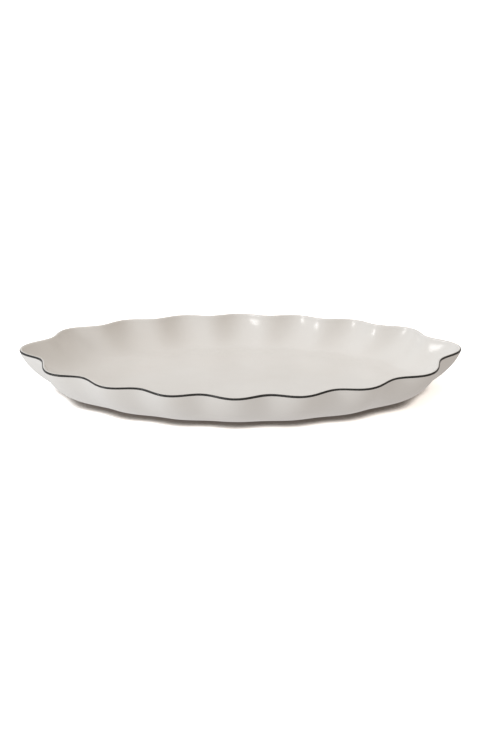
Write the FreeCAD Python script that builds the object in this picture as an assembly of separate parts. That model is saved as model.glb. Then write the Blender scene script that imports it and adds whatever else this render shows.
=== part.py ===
import FreeCAD, Part
import math
import os

# Large oval serving platter of glazed white china, with a fluted wall and a dark line round its lip.
# Millimetres. X runs along the platter, Z is up, it stands on z = 0 and the origin is under its middle.
# One fired piece, given as the china itself, its three coats of glaze, its bare foot and its painted line.

# Lip, measured on the glazed outer face at the lower edge of the painted line.
LIP_HALF_LENGTH = 195.6
LIP_HALF_WIDTH = 117.5
LIP_PINCH = 0.011           # how far both ends are drawn out to a soft point
LIP_HEIGHT = 33.3           # beside the middle of each long side
END_RISE = 3.4              # how much higher the lip stands at the two ends

# Bottom edge, where the wall turns under the platter.
BOTTOM_HALF_LENGTH = 155.5
BOTTOM_HALF_WIDTH = 91.5
BOTTOM_PINCH = 0.005
BOTTOM_HEIGHT = 2.5

# Flutes: vertical waves in the wall, deepest at the lip.
FLUTES = 16
FLUTE_DEPTH = 3.8
END_FLUTE_DEPTH = 3.9       # added at the two ends, where the flutes are the largest
END_FLUTE_POWER = 6         # how soon that fades towards the sides
FLUTE_DEPTH_AT_BOTTOM = 0.4
FLUTE_SHARPNESS = 0.04      # narrows the hollows and widens the bulges
FLUTE_DIP = 0.35            # how much lower the lip is at a bulge than at a hollow
END_STRETCH = 0.466         # widens the flutes at the ends, in flutes
SHOULDER_STRETCH = 0.054
HAND_DRIFT_X = 0.064        # unevenness of hand work, in flutes
HAND_DRIFT_Y = 0.051
HAND_DRIFT_SIDES = 0.031

# Profile of the wall from its bottom edge up to the lip.
STRAIGHT_SHARE = 0.19       # part of the climb that is an even slope
CURL_START = 2.0            # powers of the curve that makes up the rest of the climb
CURL_END = 0.62
CURL_LIMIT = 0.99           # stops the curve just short of upright

# China and coats.
LIP_THICKNESS = 2.7
WALL_THICKNESS = 4.2        # at the bottom edge
LIP_UPRIGHT = 0.4           # straight part of the lip under its rounded crown
WELL_HEIGHT = 6.6           # flat floor inside the platter
GLAZE = 0.4
LINE_TOP_ANGLE = 75.0       # the painted line ends here on the crown, in degrees above its outer side

# Insets from the bottom edge, in plan.
FOOT_OUTER_INSET = 7.0
FOOT_INNER_INSET = 12.5
WELL_INSET = 16.0
FOOT_EDGE_ROUND = 0.9

POINTS_AROUND = 240
NUDGE = 0.002               # step for measuring slopes
OUTSIDE_REACHES = (0.0, 0.05, 0.13, 0.24, 0.37, 0.51, 0.65, 0.78, 0.89, 0.96, 0.99, 1.0)
INSIDE_REACHES = (0.99, 0.96, 0.89, 0.78, 0.65, 0.51, 0.38, 0.27, 0.18)
CROWN_STEPS = 4             # rings over the crown, from the painted line to its inner side
END_TANGENT = 0.12          # length of the short steps that set the slope where two coats meet


def oval(angle, half_length, half_width, pinch):
    """Point of a softly pointed oval, and its outward direction in plan."""
    x = half_length * (math.cos(angle) + pinch * math.cos(3 * angle)) / (1 + pinch)
    y = half_width * (math.sin(angle) - pinch * math.sin(3 * angle)) / (1 + pinch)
    slope_x = -half_length * (math.sin(angle) + 3 * pinch * math.sin(3 * angle))
    slope_y = half_width * (math.cos(angle) - 3 * pinch * math.cos(3 * angle))
    return FreeCAD.Vector(x, y, 0), FreeCAD.Vector(slope_y, -slope_x, 0).normalize()


def flute_phase(angle):
    """Where an angle falls in the run of flutes, in radians; every full turn is one flute."""
    stretch = END_STRETCH * math.sin(2 * angle) + SHOULDER_STRETCH * math.sin(4 * angle)
    drift = (HAND_DRIFT_X * math.cos(angle) + HAND_DRIFT_Y * math.sin(angle)
             + HAND_DRIFT_SIDES * math.cos(2 * angle))
    return FLUTES * angle - 2 * math.pi * (stretch + drift)


def flute_wave(angle):
    """Height of the flutes' wave: near +1 on a bulge and near -1 in a hollow."""
    phase = flute_phase(angle)
    return math.cos(phase) - FLUTE_SHARPNESS * math.cos(2 * phase)


def wall_point(angle, reach):
    """Point of the glazed outer wall; reach is 0 at the bottom edge and 1 under the lip's upright."""
    low, low_out = oval(angle, BOTTOM_HALF_LENGTH, BOTTOM_HALF_WIDTH, BOTTOM_PINCH)
    high, high_out = oval(angle, LIP_HALF_LENGTH, LIP_HALF_WIDTH, LIP_PINCH)
    full_depth = FLUTE_DEPTH + END_FLUTE_DEPTH * math.cos(angle) ** END_FLUTE_POWER
    depth = FLUTE_DEPTH_AT_BOTTOM + (full_depth - FLUTE_DEPTH_AT_BOTTOM) * reach
    outward = low_out + (high_out - low_out) * reach
    point = low + (high - low) * reach + outward * (depth * flute_wave(angle))

    lip = LIP_HEIGHT + END_RISE * (high.x / LIP_HALF_LENGTH) ** 2 - FLUTE_DIP * math.cos(flute_phase(angle))
    curl = 1 - (1 - (CURL_LIMIT * reach) ** CURL_START) ** CURL_END
    full_curl = 1 - (1 - CURL_LIMIT ** CURL_START) ** CURL_END
    climb = STRAIGHT_SHARE * reach + (1 - STRAIGHT_SHARE) * curl / full_curl
    point.z = BOTTOM_HEIGHT + (lip - BOTTOM_HEIGHT) * climb
    return point


def wall_directions(angle, reach):
    """Outward normal of the glazed outer wall, and the direction up along it."""
    lower, upper = max(reach - NUDGE, 0.0), min(reach + NUDGE, 1.0)
    along = wall_point(angle + NUDGE, reach) - wall_point(angle - NUDGE, reach)
    outward = along.cross(wall_point(angle, upper) - wall_point(angle, lower)).normalize()
    return outward, outward.cross(along).normalize()


def outer_wall(angle, reach, depth):
    """Point that lies depth under the glaze of the outer wall."""
    outward, _ = wall_directions(angle, reach)
    return wall_point(angle, reach) - outward * depth


def inner_wall(angle, reach, depth):
    """Point that lies depth under the glaze of the inner wall."""
    outward, _ = wall_directions(angle, reach)
    thickness = WALL_THICKNESS + (LIP_THICKNESS - WALL_THICKNESS) * reach
    return wall_point(angle, reach) - outward * (thickness - depth)


def crown(angle, turn, depth):
    """Point depth under the lip's rounded crown; turn is 0 degrees on its outer side, 180 inside."""
    outward, up = wall_directions(angle, 1.0)
    radius = LIP_THICKNESS / 2
    centre = wall_point(angle, 1.0) + up * LIP_UPRIGHT - outward * radius
    around = outward * math.cos(math.radians(turn)) + up * math.sin(math.radians(turn))
    return centre + around * (radius - depth)


def crown_slope(angle, turn):
    """Direction in which the crown runs on from its outer side to its inner side."""
    outward, up = wall_directions(angle, 1.0)
    return up * math.cos(math.radians(turn)) - outward * math.sin(math.radians(turn))


def inset_oval(angle, inset, height):
    """Point of the bottom edge's plain oval moved inwards by inset."""
    point, outward = oval(angle, BOTTOM_HALF_LENGTH, BOTTOM_HALF_WIDTH, BOTTOM_PINCH)
    point = point - outward * inset
    point.z = height
    return point


def ring(point_at):
    """Closed ring of poles; its smooth curve keeps to the points that point_at gives for each angle."""
    points = [point_at(2 * math.pi * i / POINTS_AROUND) for i in range(POINTS_AROUND)]
    sharpened = []
    for i, point in enumerate(points):
        middle = (points[i - 1] + points[(i + 1) % POINTS_AROUND]) * 0.5
        sharpened.append(point + (point - middle) / 3)
    return sharpened


def skin(rings):
    """Closed band of smooth surface between the first and the last of its rings."""
    degree = min(3, len(rings) - 1)
    spans = len(rings) - degree
    across = [degree + 1] + [1] * (spans - 1) + [degree + 1]
    poles = [[row[i] for row in rings] for i in range(POINTS_AROUND)]
    surface = Part.BSplineSurface()
    surface.buildFromPolesMultsKnots(
        poles, [1] * (POINTS_AROUND + 1), across, list(range(POINTS_AROUND + 1)), list(range(spans + 1)),
        True, False, 3, degree)
    return surface.toShape()


def flat(*rings):
    """Flat face inside one level ring, or between two."""
    wires = []
    for poles in rings:
        curve = Part.BSplineCurve()
        curve.buildFromPolesMultsKnots(
            poles, [1] * (POINTS_AROUND + 1), list(range(POINTS_AROUND + 1)), True, 3)
        wires.append(Part.Wire(curve.toShape()))
    return Part.makeFace(wires, "Part::FaceMakerBullseye")


def closed(faces):
    """One solid from faces that meet along shared rings."""
    shell = Part.Shell(faces)
    shell.sewShape()
    solid = Part.Solid(shell)
    if solid.Volume < 0:
        solid.reverse()
    return solid


def outside_rings(depth):
    """Rings from the foot, out under the platter and up the outer wall to the painted line."""
    level = BOTTOM_HEIGHT + depth
    rings = [ring(lambda a, n=n: inset_oval(a, n, level)) for n in
             (FOOT_OUTER_INSET, FOOT_OUTER_INSET * 0.7, FOOT_OUTER_INSET * 0.35)]
    rings += [ring(lambda a, r=r: outer_wall(a, r, depth)) for r in OUTSIDE_REACHES[:-1]]
    rings.append(ring(lambda a: outer_wall(a, 1.0, depth) - wall_directions(a, 1.0)[1] * END_TANGENT))
    rings.append(ring(lambda a: outer_wall(a, 1.0, depth)))
    return rings


def line_rings(depth):
    """Rings up the lip's upright and on to the crown, where the painted line lies."""
    def line_end(angle, back):
        return crown(angle, LINE_TOP_ANGLE, depth) - crown_slope(angle, LINE_TOP_ANGLE) * back

    def upright(angle, rise):
        return outer_wall(angle, 1.0, depth) + wall_directions(angle, 1.0)[1] * rise

    return [ring(lambda a: upright(a, 0.0)), ring(lambda a: upright(a, END_TANGENT)),
            ring(lambda a: upright(a, LIP_UPRIGHT * 0.6)), ring(lambda a: crown(a, 0.0, depth)),
            ring(lambda a: crown(a, LINE_TOP_ANGLE / 3, depth)),
            ring(lambda a: crown(a, LINE_TOP_ANGLE * 2 / 3, depth)),
            ring(lambda a: line_end(a, END_TANGENT)), ring(lambda a: line_end(a, 0.0))]


def inside_rings(depth):
    """Rings from the painted line over the crown, down the inner wall and out on to the well's floor."""
    start = LINE_TOP_ANGLE
    rings = [ring(lambda a: crown(a, start, depth)),
             ring(lambda a: crown(a, start, depth) + crown_slope(a, start) * END_TANGENT)]
    for step in range(1, CROWN_STEPS + 1):
        turn = start + (180.0 - start) * step / CROWN_STEPS
        rings.append(ring(lambda a, t=turn: crown(a, t, depth)))
    rings += [ring(lambda a, r=r: inner_wall(a, r, depth)) for r in INSIDE_REACHES]
    level = WELL_HEIGHT - depth
    rings += [ring(lambda a, n=n: inset_oval(a, n, level)) for n in
              (WELL_INSET * 0.25, WELL_INSET * 0.65, WELL_INSET)]
    return rings


def porcelain_body():
    """The fired china under its coats: flat floor, fluted wall and thin lip."""
    inside, outside = inside_rings(GLAZE), outside_rings(GLAZE)
    return closed([skin(inside), skin(line_rings(GLAZE)), skin(outside), flat(inside[-1]), flat(outside[0])])


def coat(rings_at):
    """Even coat over one stretch of the china, with its two edges square to it."""
    top, under = rings_at(0.0), rings_at(GLAZE)
    return top, under, [skin(top), skin(under)]


def inside_glaze():
    """Glossy coat over the well, the inner wall and the lip's crown."""
    top, under, faces = coat(inside_rings)
    return closed(faces + [skin([top[0], under[0]]), flat(top[-1]), flat(under[-1])])


def outside_glaze():
    """Glossy coat from the painted line down the outer wall and under it to the foot."""
    top, under, faces = coat(outside_rings)
    return closed(faces + [skin([top[0], under[0]]), skin([top[-1], under[-1]])])


def rim_band():
    """Dark painted line on the outer top edge of the lip, between the two coats."""
    top, under, faces = coat(line_rings)
    return closed(faces + [skin([top[0], under[0]]), skin([top[-1], under[-1]])])


def base_glaze():
    """Glossy coat under the floor, inside the foot."""
    low = ring(lambda a: inset_oval(a, FOOT_INNER_INSET, BOTTOM_HEIGHT))
    high = ring(lambda a: inset_oval(a, FOOT_INNER_INSET, BOTTOM_HEIGHT + GLAZE))
    return closed([flat(low), flat(high), skin([low, high])])


def foot_ring():
    """Bare ring that the platter stands on, with its ground edges rounded."""
    def side(inset, inward):
        """Rings down one side: past the coat's edge, then down and round on to the ground."""
        heights = (BOTTOM_HEIGHT, BOTTOM_HEIGHT * 0.7, FOOT_EDGE_ROUND, FOOT_EDGE_ROUND * 0.3, 0.0, 0.0)
        shifts = (0.0, 0.0, 0.0, 0.1, 0.45, 1.0)
        return [ring(lambda a, h=h, s=s: inset_oval(a, inset + inward * s * FOOT_EDGE_ROUND, h))
                for h, s in zip(heights, shifts)]

    faces, tops, soles = [], [], []
    for inset, inward in ((FOOT_OUTER_INSET, 1.0), (FOOT_INNER_INSET, -1.0)):
        rings = side(inset, inward)
        top = ring(lambda a: inset_oval(a, inset, BOTTOM_HEIGHT + GLAZE))
        faces += [skin([top, rings[0]]), skin(rings)]
        tops.append(top)
        soles.append(rings[-1])
    return closed(faces + [flat(*tops), flat(*soles)])


os.makedirs("parts", exist_ok=True)
for make in (porcelain_body, foot_ring, inside_glaze, outside_glaze, base_glaze, rim_band):
    make().exportStep("parts/" + make.__name__ + ".step")
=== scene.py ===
"""Looks of a large oval serving platter: glossy white china, fluted, with a hand-painted dark line.

Metres, in the frame of the CAD part: X along the platter, Y away from the camera, Z up, and the
ground at zero. Each piece is a closed quad mesh, drawn through rings that run round the platter
and smoothed by subdivision.
"""

import math

import bmesh
import bpy
import numpy as np
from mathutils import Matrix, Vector


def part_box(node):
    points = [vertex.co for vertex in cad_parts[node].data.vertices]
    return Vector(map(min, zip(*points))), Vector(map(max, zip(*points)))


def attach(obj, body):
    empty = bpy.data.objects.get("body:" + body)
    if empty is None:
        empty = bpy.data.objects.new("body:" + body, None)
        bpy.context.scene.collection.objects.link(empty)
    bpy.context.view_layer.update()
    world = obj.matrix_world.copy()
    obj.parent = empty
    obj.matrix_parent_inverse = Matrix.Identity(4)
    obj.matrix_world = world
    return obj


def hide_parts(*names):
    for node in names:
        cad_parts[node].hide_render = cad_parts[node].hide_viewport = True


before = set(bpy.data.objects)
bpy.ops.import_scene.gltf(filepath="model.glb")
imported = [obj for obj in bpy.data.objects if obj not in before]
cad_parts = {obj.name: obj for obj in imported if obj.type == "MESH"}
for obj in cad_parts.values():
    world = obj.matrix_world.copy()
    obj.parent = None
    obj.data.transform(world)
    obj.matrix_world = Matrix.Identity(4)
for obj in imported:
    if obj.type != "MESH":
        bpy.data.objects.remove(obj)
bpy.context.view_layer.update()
MM = 0.001

# Lip of the platter, on the glaze of its outer face at the painted line's lower edge.
LIP_HALF_LENGTH = 195.6 * MM
LIP_HALF_WIDTH = 117.5 * MM
LIP_PINCH = 0.011
LIP_HEIGHT = 33.3 * MM
END_RISE = 3.4 * MM

# Bottom edge of the wall.
BOTTOM_HALF_LENGTH = 155.5 * MM
BOTTOM_HALF_WIDTH = 91.5 * MM
BOTTOM_PINCH = 0.005
BOTTOM_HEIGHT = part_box("base_glaze")[0].z
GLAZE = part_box("base_glaze")[1].z - BOTTOM_HEIGHT

# Flutes: how deep their waves go, how sharp they are, and how their spacing drifts round the lip.
FLUTES = 16
FLUTE_DEPTH = 3.8 * MM
END_FLUTE_DEPTH = 3.9 * MM
END_FLUTE_POWER = 6
FLUTE_DEPTH_AT_BOTTOM = 0.4 * MM
FLUTE_SHARPNESS = 0.04
FLUTE_DIP = 0.35 * MM
END_STRETCH = 0.466
SHOULDER_STRETCH = 0.054
HAND_DRIFT_X = 0.064
HAND_DRIFT_Y = 0.051
HAND_DRIFT_SIDES = 0.031

# Profile of the wall and the lip: a short straight climb, a curl, an upright and a round crown.
STRAIGHT_SHARE = 0.19
CURL_START = 2.0
CURL_END = 0.62
CURL_LIMIT = 0.99
LIP_THICKNESS = 2.7 * MM
WALL_THICKNESS = 4.2 * MM
LIP_UPRIGHT = 0.4 * MM
WELL_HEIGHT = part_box("inside_glaze")[0].z + GLAZE

# Painted line: how far it reaches over the crown in degrees, its paint over the glaze, its root
# in it, and how its edges wander, as (waves round the lip, size, start). The low edge's sizes are
# in millimetres and the high edge's in degrees.
LINE_TOP_ANGLE = 75.0
PAINT_FILM = 0.05 * MM
PAINT_ROOT = 0.15 * MM
LOW_EDGE_WAVES = ((5, 0.10, 0.4), (11, 0.07, 1.9), (23, 0.05, 0.3), (41, 0.03, 2.2))
HIGH_EDGE_WAVES = ((4, 3.0, 1.1), (9, 2.2, 0.2), (21, 1.6, 2.8), (37, 1.0, 0.9))

# Foot and well, as insets from the bottom edge.
FOOT_OUTER_INSET = 7.0 * MM
FOOT_INNER_INSET = 12.5 * MM
FOOT_EDGE_ROUND = 0.9 * MM
WELL_INSET = 16.0 * MM

# Rings of the meshes: the points in each, the step that slopes are taken over, and where the
# rings lie, as reaches up the wall, degrees over the crown and shares of an inset or a floor.
POINTS_AROUND = 320
ANGLES = np.linspace(0.0, 2.0 * math.pi, POINTS_AROUND, endpoint=False)
NUDGE = 0.002
OUTSIDE_REACHES = (0.0, 0.05, 0.13, 0.24, 0.37, 0.51, 0.65, 0.78, 0.89, 0.96, 0.99, 1.0)
INSIDE_REACHES = (0.99, 0.96, 0.89, 0.78, 0.65, 0.51, 0.38, 0.27, 0.18)
CROWN_TURNS = (0.0, 15.0, 35.0, 60.0, 90.0, 120.0, 150.0, 180.0)
UNDERSIDE_SHARES = (1.0, 0.7, 0.35)
WELL_EDGE_SHARES = (0.25, 0.65, 1.0)
WELL_FLOOR_SHARES = (0.97, 0.92)
BASE_SHARES = (0.94, 0.98, 1.0)
LINE_UPRIGHT_SHARES = (0.3, 0.7)
LINE_OVER_SHARES = (0.0, 0.17, 0.33, 0.5, 0.66, 0.82, 0.95)
LINE_UNDER_SHARES = (1.0, 0.66, 0.33, 0.0)

# Range that noise seldom leaves.
NOISE_LOW = 0.3
NOISE_HIGH = 0.7


# ---------------------------------------------------------------- shape

def unit(vectors):
    """The same directions with length one."""
    return vectors / np.linalg.norm(vectors, axis=1, keepdims=True)


def stack(x, y, z=0.0):
    """Points from their coordinates; a single number serves for all of them."""
    return np.stack(np.broadcast_arrays(x, y, z), axis=1).astype(float)


def oval(angle, half_length, half_width, pinch):
    """Points of a softly pointed oval, and its outward directions in plan."""
    x = half_length * (np.cos(angle) + pinch * np.cos(3 * angle)) / (1 + pinch)
    y = half_width * (np.sin(angle) - pinch * np.sin(3 * angle)) / (1 + pinch)
    slope_x = -half_length * (np.sin(angle) + 3 * pinch * np.sin(3 * angle))
    slope_y = half_width * (np.cos(angle) - 3 * pinch * np.cos(3 * angle))
    return stack(x, y), unit(stack(slope_y, -slope_x))


def flute_phase(angle):
    """Where each angle falls in the run of flutes; a full turn is one flute."""
    stretch = END_STRETCH * np.sin(2 * angle) + SHOULDER_STRETCH * np.sin(4 * angle)
    drift = (HAND_DRIFT_X * np.cos(angle) + HAND_DRIFT_Y * np.sin(angle)
             + HAND_DRIFT_SIDES * np.cos(2 * angle))
    return FLUTES * angle - 2 * math.pi * (stretch + drift)


def wall_point(angle, reach):
    """Points of the glazed outer wall; reach is 0 at its bottom and 1 under the lip's upright."""
    low, low_out = oval(angle, BOTTOM_HALF_LENGTH, BOTTOM_HALF_WIDTH, BOTTOM_PINCH)
    high, high_out = oval(angle, LIP_HALF_LENGTH, LIP_HALF_WIDTH, LIP_PINCH)
    phase = flute_phase(angle)
    wave = np.cos(phase) - FLUTE_SHARPNESS * np.cos(2 * phase)
    full_depth = FLUTE_DEPTH + END_FLUTE_DEPTH * np.cos(angle) ** END_FLUTE_POWER
    depth = FLUTE_DEPTH_AT_BOTTOM + (full_depth - FLUTE_DEPTH_AT_BOTTOM) * reach
    outward = low_out + (high_out - low_out) * reach
    points = low + (high - low) * reach + outward * (depth * wave)[:, None]

    lip = LIP_HEIGHT + END_RISE * (high[:, 0] / LIP_HALF_LENGTH) ** 2 - FLUTE_DIP * np.cos(phase)
    curl = 1 - (1 - (CURL_LIMIT * reach) ** CURL_START) ** CURL_END
    full_curl = 1 - (1 - CURL_LIMIT ** CURL_START) ** CURL_END
    climb = STRAIGHT_SHARE * reach + (1 - STRAIGHT_SHARE) * curl / full_curl
    points[:, 2] = BOTTOM_HEIGHT + (lip - BOTTOM_HEIGHT) * climb
    return points


def wall_directions(angle, reach):
    """Outward normals of the glazed outer wall, and the directions up along it."""
    lower, upper = max(reach - NUDGE, 0.0), min(reach + NUDGE, 1.0)
    along = wall_point(angle + NUDGE, reach) - wall_point(angle - NUDGE, reach)
    outward = unit(np.cross(along, wall_point(angle, upper) - wall_point(angle, lower)))
    return outward, unit(np.cross(outward, along))


def outer_wall(angle, reach, depth):
    """Points that lie depth under the glaze of the outer wall."""
    return wall_point(angle, reach) - wall_directions(angle, reach)[0] * depth


def inner_wall(angle, reach, depth):
    """Points that lie depth under the glaze of the inner wall."""
    thickness = WALL_THICKNESS + (LIP_THICKNESS - WALL_THICKNESS) * reach
    return wall_point(angle, reach) - wall_directions(angle, reach)[0] * (thickness - depth)


def crown(angle, turn, depth):
    """Points depth under the lip's round crown; turn is 0 degrees on its outer side, 180 inside."""
    outward, up = wall_directions(angle, 1.0)
    radius = LIP_THICKNESS / 2
    centre = wall_point(angle, 1.0) + up * LIP_UPRIGHT - outward * radius
    turn = np.radians(np.broadcast_to(turn, angle.shape))[:, None]
    return centre + (outward * np.cos(turn) + up * np.sin(turn)) * (radius - depth)


def inset_oval(angle, inset, height):
    """Points of the bottom edge's plain oval moved inwards by inset."""
    points, outward = oval(angle, BOTTOM_HALF_LENGTH, BOTTOM_HALF_WIDTH, BOTTOM_PINCH)
    return points - outward * inset + (0.0, 0.0, height)


def floor_oval(share, inset, height):
    """Points of the inset oval shrunk to a share of its size, for the rings across a floor."""
    return inset_oval(ANGLES, inset, 0.0) * share + (0.0, 0.0, height)


def sharpened(points):
    """Control ring whose smoothed curve passes through the points."""
    middle = (np.roll(points, 1, axis=0) + np.roll(points, -1, axis=0)) / 2
    return points + (points - middle) / 3


def outside_rings(depth):
    """Rings from the foot, out under the platter and up the outer wall to the lip's shoulder."""
    level = BOTTOM_HEIGHT + depth
    rings = [inset_oval(ANGLES, FOOT_OUTER_INSET * s, level) for s in UNDERSIDE_SHARES]
    rings += [outer_wall(ANGLES, reach, depth) for reach in OUTSIDE_REACHES]
    rings.append(crown(ANGLES, 0.0, depth))
    return rings


def inside_rings(depth):
    """Rings from the lip's shoulder over the crown, down the inner wall and over the floor."""
    rings = [crown(ANGLES, turn, depth) for turn in CROWN_TURNS]
    rings += [inner_wall(ANGLES, reach, depth) for reach in INSIDE_REACHES]
    level = WELL_HEIGHT - depth
    rings += [inset_oval(ANGLES, WELL_INSET * s, level) for s in WELL_EDGE_SHARES]
    rings += [floor_oval(share, WELL_INSET, level) for share in WELL_FLOOR_SHARES]
    return rings


# ---------------------------------------------------------------- pieces

def fill(start, reverse):
    """Faces across the ring that starts at a vertex: strips from its near side to its far side."""
    last = POINTS_AROUND
    strips = [(i, i + 1, last - i - 1, (last - i) % last) for i in range(POINTS_AROUND // 2)]
    faces = [tuple(dict.fromkeys(start + i for i in strip)) for strip in strips]
    return [face[::-1] for face in faces] if reverse else faces


def make_piece(name, rings, node, material, looped, creases=(), levels=2):
    """Closed quad mesh through a loop of rings, or through a run of them with both ends filled."""
    count = len(rings)
    points = np.concatenate([sharpened(r) for r in rings])
    faces = []
    for row in range(count if looped else count - 1):
        here, there = row * POINTS_AROUND, (row + 1) % count * POINTS_AROUND
        for i in range(POINTS_AROUND):
            j = (i + 1) % POINTS_AROUND
            faces.append((here + i, here + j, there + j, there + i))
    if not looped:
        faces += fill(0, reverse=True) + fill((count - 1) * POINTS_AROUND, reverse=False)

    mesh = bpy.data.meshes.new(name)
    mesh.from_pydata(points.tolist(), [], faces)
    shell = bmesh.new()
    shell.from_mesh(mesh)
    bmesh.ops.recalc_face_normals(shell, faces=shell.faces)
    shell.to_mesh(mesh)
    shell.free()
    crease = mesh.attributes.new("crease_edge", "FLOAT", "EDGE")
    for edge in mesh.edges:
        rows = {vertex // POINTS_AROUND for vertex in edge.vertices}
        if len(rows) == 1 and rows <= set(creases):
            crease.data[edge.index].value = 1.0
    mesh.polygons.foreach_set("use_smooth", [True] * len(mesh.polygons))
    mesh.materials.append(material)

    piece = bpy.data.objects.new(name, mesh)
    bpy.context.collection.objects.link(piece)
    smooth = piece.modifiers.new("smooth", "SUBSURF")
    smooth.levels = smooth.render_levels = levels
    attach(piece, "root")
    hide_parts(node)
    return piece


def wander(angle, waves):
    """Slow unevenness of a hand-drawn edge, from a few waves of (count, size, start)."""
    return sum(size * np.sin(count * angle + start) for count, size, start in waves)


def china_body(material):
    """The fired china, hidden under its coats."""
    inside, outside = inside_rings(GLAZE), outside_rings(GLAZE)
    rings = inside[::-1] + outside[::-1][1:]
    return make_piece("china_body", rings, "porcelain_body", material,
                      looped=False, levels=1)


def inside_coat(material):
    """Glossy coat over the lip's crown, the inner wall and the well."""
    top, under = inside_rings(0.0), inside_rings(GLAZE)
    rings = top[::-1] + under
    edge = len(top)
    return make_piece("inside_coat", rings, "inside_glaze", material,
                      looped=False, creases=(edge - 1, edge))


def outside_coat(material):
    """Glossy coat down the outer wall and under it to the foot."""
    top, under = outside_rings(0.0), outside_rings(GLAZE)
    rings = top + under[::-1]
    return make_piece("outside_coat", rings, "outside_glaze", material,
                      looped=True, creases=(0, len(top) - 1, len(top), len(rings) - 1))


def base_coat(material):
    """Glossy coat under the floor, inside the foot."""
    def across(level):
        return [floor_oval(share, FOOT_INNER_INSET, level) for share in BASE_SHARES]

    low, high = across(BOTTOM_HEIGHT), across(BOTTOM_HEIGHT + GLAZE)
    return make_piece("base_coat", low + high[::-1], "base_glaze", material,
                      looped=False, creases=(len(low) - 1, len(low)))


def foot(material):
    """Bare ring that the platter stands on, worn a little round at its ground edges."""
    side = ((0.0, BOTTOM_HEIGHT + GLAZE), (0.0, BOTTOM_HEIGHT * 0.6),
            (0.05, FOOT_EDGE_ROUND * 0.6), (0.35, 0.0), (1.0, 0.0))
    outer = [inset_oval(ANGLES, FOOT_OUTER_INSET + FOOT_EDGE_ROUND * share, height)
             for share, height in side]
    inner = [inset_oval(ANGLES, FOOT_INNER_INSET - FOOT_EDGE_ROUND * share, height)
             for share, height in side]
    rings = outer + inner[::-1]
    return make_piece("foot", rings, "foot_ring", material,
                      looped=True, creases=(0, len(rings) - 1))


def painted_line(material):
    """Dark line on the lip's outer top edge: a film of paint whose edges wander as a brush does."""
    low = wander(ANGLES, LOW_EDGE_WAVES) * MM
    high = LINE_TOP_ANGLE + wander(ANGLES, HIGH_EDGE_WAVES)
    _, up = wall_directions(ANGLES, 1.0)

    def upright(share, depth):
        rise = low + (LIP_UPRIGHT - low) * share
        return outer_wall(ANGLES, 1.0, depth) + up * rise[:, None]

    over = [upright(0.0, 0.0)] + [upright(share, -PAINT_FILM) for share in LINE_UPRIGHT_SHARES]
    over += [crown(ANGLES, high * share, -PAINT_FILM) for share in LINE_OVER_SHARES]
    over.append(crown(ANGLES, high, 0.0))
    under = [crown(ANGLES, high * share, PAINT_ROOT) for share in LINE_UNDER_SHARES]
    under.append(upright(0.0, PAINT_ROOT))
    return make_piece("painted_line", over + under, "rim_band", material, looped=True)


# ---------------------------------------------------------------- materials

def new_material(name):
    """Empty node material, its shader and its links."""
    material = bpy.data.materials.new(name)
    material.use_nodes = True
    tree = material.node_tree
    return material, tree.nodes, tree.links, tree.nodes["Principled BSDF"]


def noise(nodes, links, scale, detail=3.0):
    """Solid noise in the object's own space."""
    place = nodes.get("place") or nodes.new("ShaderNodeTexCoord")
    place.name = "place"
    texture = nodes.new("ShaderNodeTexNoise")
    texture.inputs["Scale"].default_value = scale
    texture.inputs["Detail"].default_value = detail
    links.new(place.outputs["Object"], texture.inputs["Vector"])
    return texture.outputs["Fac"]


def ramp(nodes, links, source, stops):
    """Colour ramp from (position, colour) stops."""
    node = nodes.new("ShaderNodeValToRGB")
    while len(node.color_ramp.elements) < len(stops):
        node.color_ramp.elements.new(0.5)
    for element, (position, colour) in zip(node.color_ramp.elements, stops):
        element.position = position
        element.color = (*colour, 1.0)
    links.new(source, node.inputs["Fac"])
    return node.outputs["Color"]


def spread(nodes, links, source, low, high):
    """The noise stretched to run between two values."""
    node = nodes.new("ShaderNodeMapRange")
    node.inputs["From Min"].default_value = NOISE_LOW
    node.inputs["From Max"].default_value = NOISE_HIGH
    node.inputs["To Min"].default_value = low
    node.inputs["To Max"].default_value = high
    links.new(source, node.inputs["Value"])
    return node.outputs["Result"]


def bump(nodes, links, source, height, below=None):
    """Fine relief of the given height in metres."""
    node = nodes.new("ShaderNodeBump")
    node.inputs["Strength"].default_value = 1.0
    node.inputs["Distance"].default_value = height
    links.new(source, node.inputs["Height"])
    if below is not None:
        links.new(below, node.inputs["Normal"])
    return node.outputs["Normal"]


def dress(links, shader, tint, gloss, grain):
    """Give the shader its colour, its roughness and its fine relief."""
    links.new(tint, shader.inputs["Base Color"])
    links.new(gloss, shader.inputs["Roughness"])
    links.new(grain, shader.inputs["Normal"])


def glaze_material():
    """Glossy warm white glaze: a clouded tint, an uneven gloss and a faintly rippled skin."""
    material, nodes, links, shader = new_material("white_glaze")
    tint = ramp(nodes, links, noise(nodes, links, scale=14.0), (
        (0.30, (0.785, 0.765, 0.735)),
        (0.55, (0.800, 0.785, 0.760)),
        (0.75, (0.812, 0.800, 0.778))))
    gloss = spread(nodes, links, noise(nodes, links, scale=60.0), low=0.21, high=0.27)
    ripple = bump(nodes, links, noise(nodes, links, scale=45.0, detail=1.0), height=0.25 * MM)
    specks = noise(nodes, links, scale=900.0, detail=2.0)
    grain = bump(nodes, links, specks, height=0.004 * MM, below=ripple)
    dress(links, shader, tint, gloss, grain)
    shader.inputs["IOR"].default_value = 1.5
    shader.inputs["Coat Weight"].default_value = 0.2
    shader.inputs["Coat Roughness"].default_value = 0.08
    shader.inputs["Coat IOR"].default_value = 1.5
    return material


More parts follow.
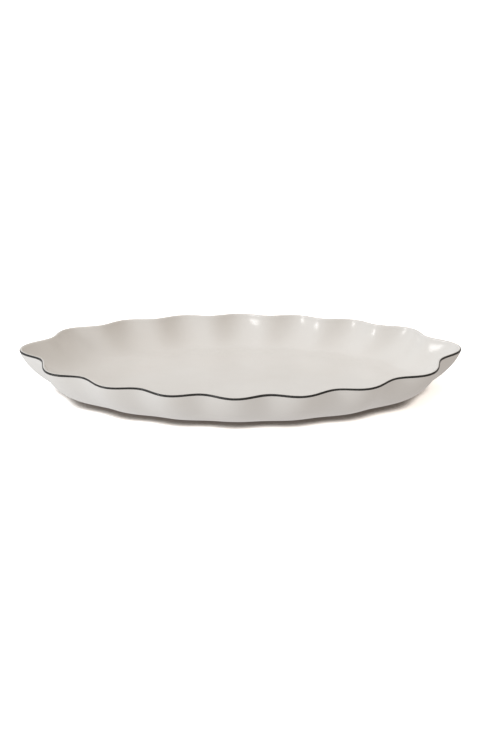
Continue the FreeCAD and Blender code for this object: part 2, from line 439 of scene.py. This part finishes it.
def china_material():
    """Fired china under the glaze: matt, off-white, with a very fine grain."""
    material, nodes, links, shader = new_material("china")
    tint = ramp(nodes, links, noise(nodes, links, scale=120.0), (
        (0.3, (0.74, 0.71, 0.66)),
        (0.7, (0.80, 0.775, 0.73))))
    gloss = spread(nodes, links, noise(nodes, links, scale=700.0), low=0.6, high=0.8)
    grain = bump(nodes, links, noise(nodes, links, scale=2500.0), height=0.03 * MM)
    dress(links, shader, tint, gloss, grain)
    return material


def foot_material():
    """Bare ground china: chalky, with grey scuffs from use."""
    material, nodes, links, shader = new_material("bare_foot")
    tint = ramp(nodes, links, noise(nodes, links, scale=260.0, detail=6.0), (
        (0.32, (0.46, 0.43, 0.38)),
        (0.5, (0.66, 0.62, 0.55)),
        (0.7, (0.74, 0.70, 0.64))))
    gloss = spread(nodes, links, noise(nodes, links, scale=500.0), low=0.7, high=0.92)
    grain = bump(nodes, links, noise(nodes, links, scale=3000.0, detail=4.0), height=0.08 * MM)
    dress(links, shader, tint, gloss, grain)
    return material


def line_material():
    """Glossy charcoal paint, thinner and browner where the brush ran dry."""
    material, nodes, links, shader = new_material("dark_line")
    tint = ramp(nodes, links, noise(nodes, links, scale=90.0, detail=5.0), (
        (0.30, (0.010, 0.010, 0.009)),
        (0.60, (0.014, 0.013, 0.012)),
        (0.80, (0.030, 0.026, 0.023))))
    gloss = spread(nodes, links, noise(nodes, links, scale=400.0), low=0.22, high=0.36)
    grain = bump(nodes, links, noise(nodes, links, scale=1500.0), height=0.02 * MM)
    dress(links, shader, tint, gloss, grain)
    return material


# ---------------------------------------------------------------- studio

# Camera: its distance, its degrees above the floor, what it looks at, and its lens and sensor in
# millimetres.
CAMERA_DISTANCE = 1500 * MM
CAMERA_ELEVATION = 20.0
CAMERA_TARGET = Vector((-0.75 * MM, 6.4 * MM, 17.6 * MM))
CAMERA_LENS = 79.37
CAMERA_SENSOR = 36.0

# Room light, as (axis, side it comes from, how narrow it is, colour).
ROOM_GRADIENTS = (
    ("X", -1.0, 1.0, (0.50, 0.58, 0.66)),
    ("Y", -1.0, 1.0, (0.12, 0.09, 0.07)),
    ("Z", 1.0, 1.0, (0.40, 0.31, 0.22)),
    ("Z", 1.0, 3.0, (0.36, 0.40, 0.43)))

# Floor that the camera sees: how far its painted contact shadow reaches round what stands on it,
# and its colours from the deepest painted shadow to the open floor.
GROUND_HALF = 6.0
FLOOR_LEVEL = -0.02 * MM
SHADOW_REACH = 9.5 * MM
SHADOW_SAMPLES = 8
SHADOW_STOPS = (
    (0.26, (0.22, 0.195, 0.18)),
    (0.42, (0.95, 0.91, 0.88)),
    (0.66, (2.10, 2.08, 2.06)))

# Light thrown up by the floor, and its colours from the left to the right of the platter.
BOUNCE_LEVEL = -0.04 * MM
BOUNCE_REACH = 300 * MM
BOUNCE_STOPS = ((0.0, (0.82, 0.82, 0.82)), (1.0, (0.53, 0.49, 0.46)))

BACKDROP_RADIUS = 5.9
BACKDROP_HEIGHTS = (-0.1, 9.0)
BACKDROP_SIDES = 64

# Window: its degrees round the platter and above the floor, and its distance, width and watts.
WINDOW_AZIMUTH = -147.0
WINDOW_ELEVATION = 19.0
WINDOW_DISTANCE = 2.0
WINDOW_SIZE = 0.56
WINDOW_POWER = 6.5


def add_camera():
    """Camera in front of the platter's long side, a little above it."""
    rise = math.radians(CAMERA_ELEVATION)
    camera = bpy.data.objects.new("camera", bpy.data.cameras.new("camera"))
    camera.location = Vector((0.0, -math.cos(rise), math.sin(rise))) * CAMERA_DISTANCE
    camera.rotation_euler = (CAMERA_TARGET - camera.location).to_track_quat("-Z", "Y").to_euler()
    camera.data.lens = CAMERA_LENS
    camera.data.sensor_width = CAMERA_SENSOR
    camera.data.dof.use_dof = False
    bpy.context.collection.objects.link(camera)
    bpy.context.scene.camera = camera


def add_sheet(name, points, faces, level=0.0):
    """Sheet of the stage, and the nodes and links of its bare material."""
    material, nodes, links, shader = new_material(name)
    nodes.remove(shader)
    mesh = bpy.data.meshes.new(name)
    mesh.from_pydata(points, [], faces)
    mesh.materials.append(material)
    sheet = bpy.data.objects.new(name, mesh)
    sheet.location.z = level
    bpy.context.collection.objects.link(sheet)
    return sheet, nodes, links


def add_floor():
    """White floor for the camera with a painted contact shadow, and just under it the glow that
    lights the platter from below.
    """
    signs = ((-1, -1), (1, -1), (1, 1), (-1, 1))
    corners = [(GROUND_HALF * x, GROUND_HALF * y, 0.0) for x, y in signs]

    seen, nodes, links = add_sheet("floor", corners, [(0, 1, 2, 3)], FLOOR_LEVEL)
    seen.visible_diffuse = seen.visible_glossy = seen.visible_shadow = False
    # Painted contact shadow: the floor's colour darkens where ambient occlusion finds the platter
    # close by.
    painted_shadow_occlusion = nodes.new("ShaderNodeAmbientOcclusion")
    painted_shadow_occlusion.samples = SHADOW_SAMPLES
    painted_shadow_occlusion.inputs["Distance"].default_value = SHADOW_REACH
    tint = ramp(nodes, links, painted_shadow_occlusion.outputs["AO"], SHADOW_STOPS)
    matt = nodes.new("ShaderNodeBsdfDiffuse")
    links.new(tint, matt.inputs["Color"])
    links.new(matt.outputs["BSDF"], nodes["Material Output"].inputs["Surface"])

    bounce, nodes, links = add_sheet("bounce", corners, [(0, 1, 2, 3)], BOUNCE_LEVEL)
    bounce.visible_camera = False
    side = nodes.new("ShaderNodeSeparateXYZ")
    links.new(nodes.new("ShaderNodeTexCoord").outputs["Object"], side.inputs["Vector"])
    across = nodes.new("ShaderNodeMapRange")
    across.inputs["From Min"].default_value = -BOUNCE_REACH
    across.inputs["From Max"].default_value = BOUNCE_REACH
    links.new(side.outputs["X"], across.inputs["Value"])
    glow = nodes.new("ShaderNodeEmission")
    links.new(ramp(nodes, links, across.outputs["Result"], BOUNCE_STOPS), glow.inputs["Color"])
    links.new(glow.outputs["Emission"], nodes["Material Output"].inputs["Surface"])


def add_backdrop():
    """White wall far round the floor, seen by the camera alone."""
    turns = [2 * math.pi * i / BACKDROP_SIDES for i in range(BACKDROP_SIDES)]
    points = [(BACKDROP_RADIUS * math.cos(turn), BACKDROP_RADIUS * math.sin(turn), height)
              for height in BACKDROP_HEIGHTS for turn in turns]
    faces = []
    for i in range(BACKDROP_SIDES):
        j = (i + 1) % BACKDROP_SIDES
        faces.append((i, j, j + BACKDROP_SIDES, i + BACKDROP_SIDES))
    wall, nodes, links = add_sheet("backdrop", points, faces)
    wall.visible_diffuse = wall.visible_glossy = wall.visible_shadow = False
    white = nodes.new("ShaderNodeEmission")
    links.new(white.outputs["Emission"], nodes["Material Output"].inputs["Surface"])


def add_room():
    """Soft room round the platter, made of gradients: cool light from the left, warm from above."""
    world = bpy.data.worlds.new("room")
    bpy.context.scene.world = world
    world.use_nodes = True
    nodes, links = world.node_tree.nodes, world.node_tree.links
    way = nodes.new("ShaderNodeSeparateXYZ")
    links.new(nodes.new("ShaderNodeTexCoord").outputs["Generated"], way.inputs["Vector"])
    total = None
    for axis, sign, power, colour in ROOM_GRADIENTS:
        toward = nodes.new("ShaderNodeMath")
        toward.operation = "MULTIPLY_ADD"
        links.new(way.outputs[axis], toward.inputs[0])
        toward.inputs[1].default_value = sign / 2
        toward.inputs[2].default_value = 0.5
        shaped = nodes.new("ShaderNodeMath")
        shaped.operation = "POWER"
        links.new(toward.outputs[0], shaped.inputs[0])
        shaped.inputs[1].default_value = power
        tinted = nodes.new("ShaderNodeVectorMath")
        tinted.operation = "SCALE"
        tinted.inputs[0].default_value = colour
        links.new(shaped.outputs[0], tinted.inputs["Scale"])
        if total is not None:
            both = nodes.new("ShaderNodeVectorMath")
            links.new(total, both.inputs[0])
            links.new(tinted.outputs[0], both.inputs[1])
            tinted = both
        total = tinted.outputs[0]
    links.new(total, nodes["Background"].inputs["Color"])


def add_window():
    """Softbox at the left front, which makes the soft highlights in the glaze."""
    data = bpy.data.lights.new("window", "AREA")
    data.shape = "DISK"
    data.size = WINDOW_SIZE
    data.energy = WINDOW_POWER
    window = bpy.data.objects.new("window", data)
    turn, rise = math.radians(WINDOW_AZIMUTH), math.radians(WINDOW_ELEVATION)
    way = Vector((math.cos(rise) * math.cos(turn), math.cos(rise) * math.sin(turn), math.sin(rise)))
    window.location = way * WINDOW_DISTANCE
    window.rotation_euler = (-way).to_track_quat("-Z", "Y").to_euler()
    bpy.context.collection.objects.link(window)


glaze = glaze_material()
china_body(china_material())
inside_coat(glaze)
outside_coat(glaze)
base_coat(glaze)
foot(foot_material())
painted_line(line_material())
add_floor()
add_backdrop()
add_room()
add_window()
add_camera()
bpy.context.scene.view_settings.view_transform = "Standard"
